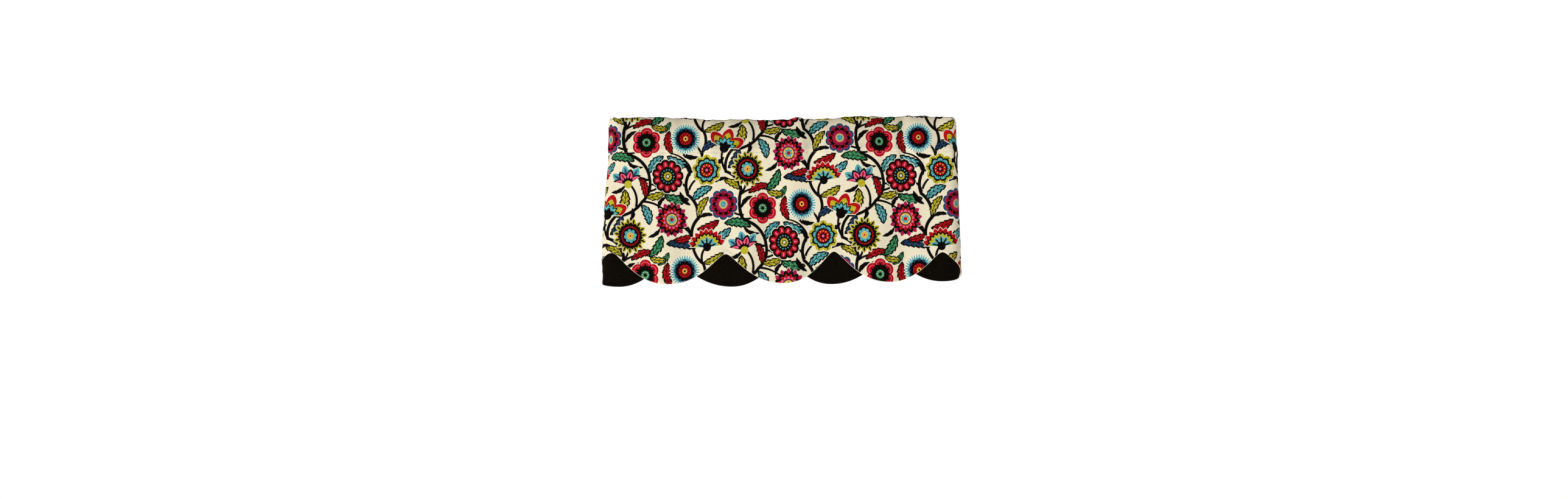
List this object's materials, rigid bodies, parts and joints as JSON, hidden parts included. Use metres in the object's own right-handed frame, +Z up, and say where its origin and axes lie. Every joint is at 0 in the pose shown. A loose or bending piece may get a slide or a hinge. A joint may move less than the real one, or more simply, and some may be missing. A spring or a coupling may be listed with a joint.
{
  "type": "window valance",
  "caption": "Scalloped cloth window valance with a rod pocket, side returns and a darker under layer that shows between the scallops.",
  "frame": {"origin": "mid width of the front, on the nominal crest of the rod pocket at the top edge, where a curtain rod carries it", "axes": "+X to the right seen from the front, the front faces -Y and the wall is at +Y, +Z up"},
  "size_m": [0.9332, 0.1023, 0.442],
  "materials": {
    "printed_cloth": "matte slub cotton, cream with a floral print in red, magenta, turquoise, mustard, green, navy and black",
    "black_cloth": "matte plain-weave cotton, near black"
  },
  "bodies": {
    "root": {"face_panel": "printed_cloth", "under_panel": "black_cloth"}
  },
  "joints": []
}
